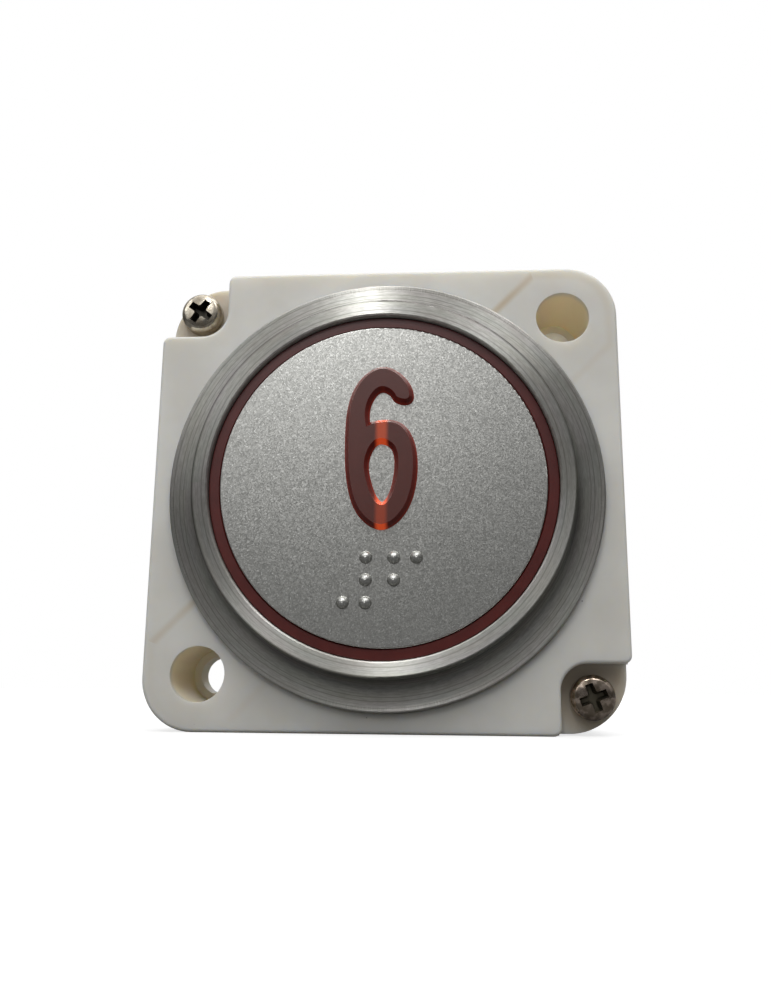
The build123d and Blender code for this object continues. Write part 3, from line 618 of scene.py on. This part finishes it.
def spring(node, joint, centres, **sizes):
    """Stands for a spring node with coils of wire, attached to the housing."""
    low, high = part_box(node)
    mesh = bmesh.new()
    for centre in centres:
        helix_wire(mesh, centre, low.y, high.y, **sizes)
    bmesh.ops.recalc_face_normals(mesh, faces=mesh.faces)
    data = bpy.data.meshes.new(node + "_wire")
    mesh.to_mesh(data)
    mesh.free()
    data.shade_smooth()
    data.materials.append(MATERIALS["spring_steel"])
    piece = bpy.data.objects.new(node + "_wire", data)
    bpy.context.collection.objects.link(piece)
    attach(piece, "housing")
    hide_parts(node)
    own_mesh(piece)


GUIDE_CENTRES = [
    Vector((GUIDE_RING_R * math.cos(angle), 0.0, GUIDE_RING_R * math.sin(angle)))
    for angle in map(math.radians, GUIDE_ANGLES)
]
spring("return_springs", "press", GUIDE_CENTRES, **RETURN_SPRING)
spring("switch_spring", "switch_travel", [Vector((0.0, 0.0, 0.0))], **SWITCH_SPRING)


# ---- stage -----------------------------------------------------------------------------
def pale_floor():
    """A white sheet: it looks white, takes a soft shadow and throws little light back up."""
    look = Look("pale_floor", Roughness=0.8, Emission_Color=(*WHITE, 1.0))
    seen = look.add("ShaderNodeLightPath").outputs["Is Camera Ray"]
    pale = look.mix(look.noise(12.0, 2.0), PAPER_DARK, PAPER_LIGHT)
    look.feed("Base Color", look.mix(seen, (FLOOR_BOUNCE,) * 3, pale))
    distance = look.add("ShaderNodeVectorMath", {0: look.place}, operation="LENGTH")
    glow = look.spread(distance.outputs["Value"], 0.72, 1.0, FLOOR_NEAR, FLOOR_FAR)
    look.feed("Emission Strength", look.product(seen, glow))
    return look.material


def add_floor():
    """The floor, just under the housing."""
    bpy.ops.mesh.primitive_plane_add(size=FLOOR_SIZE, location=(0.0, 0.0, cad_box[0][2]))
    floor = bpy.context.object
    floor.name = "floor"
    floor.data.materials.append(pale_floor())


add_floor()


# ---- light -----------------------------------------------------------------------------
def soft_box(name, place, size, brightness):
    """A rectangular light of this surface brightness, aimed at the origin."""
    width, height = size
    data = bpy.data.lights.new(name, "AREA")
    data.shape = "RECTANGLE"
    data.size = width
    data.size_y = height
    data.energy = brightness * math.pi * width * height
    lamp = bpy.data.objects.new(name, data)
    lamp.location = place
    lamp.rotation_mode = "QUATERNION"
    lamp.rotation_quaternion = (-Vector(place)).to_track_quat("-Z", "Y")
    bpy.context.collection.objects.link(lamp)


def room_light():
    """White to the camera. For everything else dark at the horizon and bright overhead."""
    world = bpy.data.worlds.new("studio")
    bpy.context.scene.world = world
    world.use_nodes = True
    nodes, links = world.node_tree.nodes, world.node_tree.links
    place = nodes.new("ShaderNodeTexCoord")
    split = nodes.new("ShaderNodeSeparateXYZ")
    ramp = nodes.new("ShaderNodeValToRGB")
    ray = nodes.new("ShaderNodeLightPath")
    mix = nodes.new("ShaderNodeMix")
    mix.data_type = "RGBA"
    mix.inputs[7].default_value = (*WHITE, 1.0)
    stops = ramp.color_ramp.elements
    for height, _ in ROOM_BRIGHTNESS[2:]:
        stops.new(height)
    for stop, (height, brightness) in zip(stops, ROOM_BRIGHTNESS):
        stop.position = height
        stop.color = (brightness, brightness, brightness, 1.0)
    links.new(place.outputs["Generated"], split.inputs[0])
    links.new(split.outputs["Z"], ramp.inputs[0])
    links.new(ray.outputs["Is Camera Ray"], mix.inputs["Factor"])
    links.new(ramp.outputs[0], mix.inputs[6])
    links.new(mix.outputs[2], nodes["Background"].inputs["Color"])


room_light()
for box in SOFT_BOXES:
    soft_box(*box)
bpy.context.scene.view_settings.view_transform = "Standard"


# ---- camera ----------------------------------------------------------------------------
def make_camera():
    """The camera in front of the button, a little below it, looking slightly up."""
    azimuth, elevation = math.radians(CAMERA_AZIMUTH), math.radians(CAMERA_ELEVATION)
    back = Vector((
        math.sin(azimuth) * math.cos(elevation),
        -math.cos(azimuth) * math.cos(elevation),
        math.sin(elevation),
    ))
    data = bpy.data.cameras.new("camera")
    data.lens = CAMERA_LENS
    data.sensor_width = CAMERA_SENSOR
    data.clip_start = CAMERA_NEAR
    camera = bpy.data.objects.new("camera", data)
    bpy.context.collection.objects.link(camera)
    camera.location = CAMERA_TARGET + back * CAMERA_DISTANCE
    roll = Matrix.Rotation(math.radians(CAMERA_ROLL), 4, "Z")
    turn = (-back).to_track_quat("-Z", "Y").to_matrix().to_4x4() @ roll
    camera.rotation_mode = "QUATERNION"
    camera.rotation_quaternion = turn.to_quaternion()
    bpy.context.scene.camera = camera


make_camera()
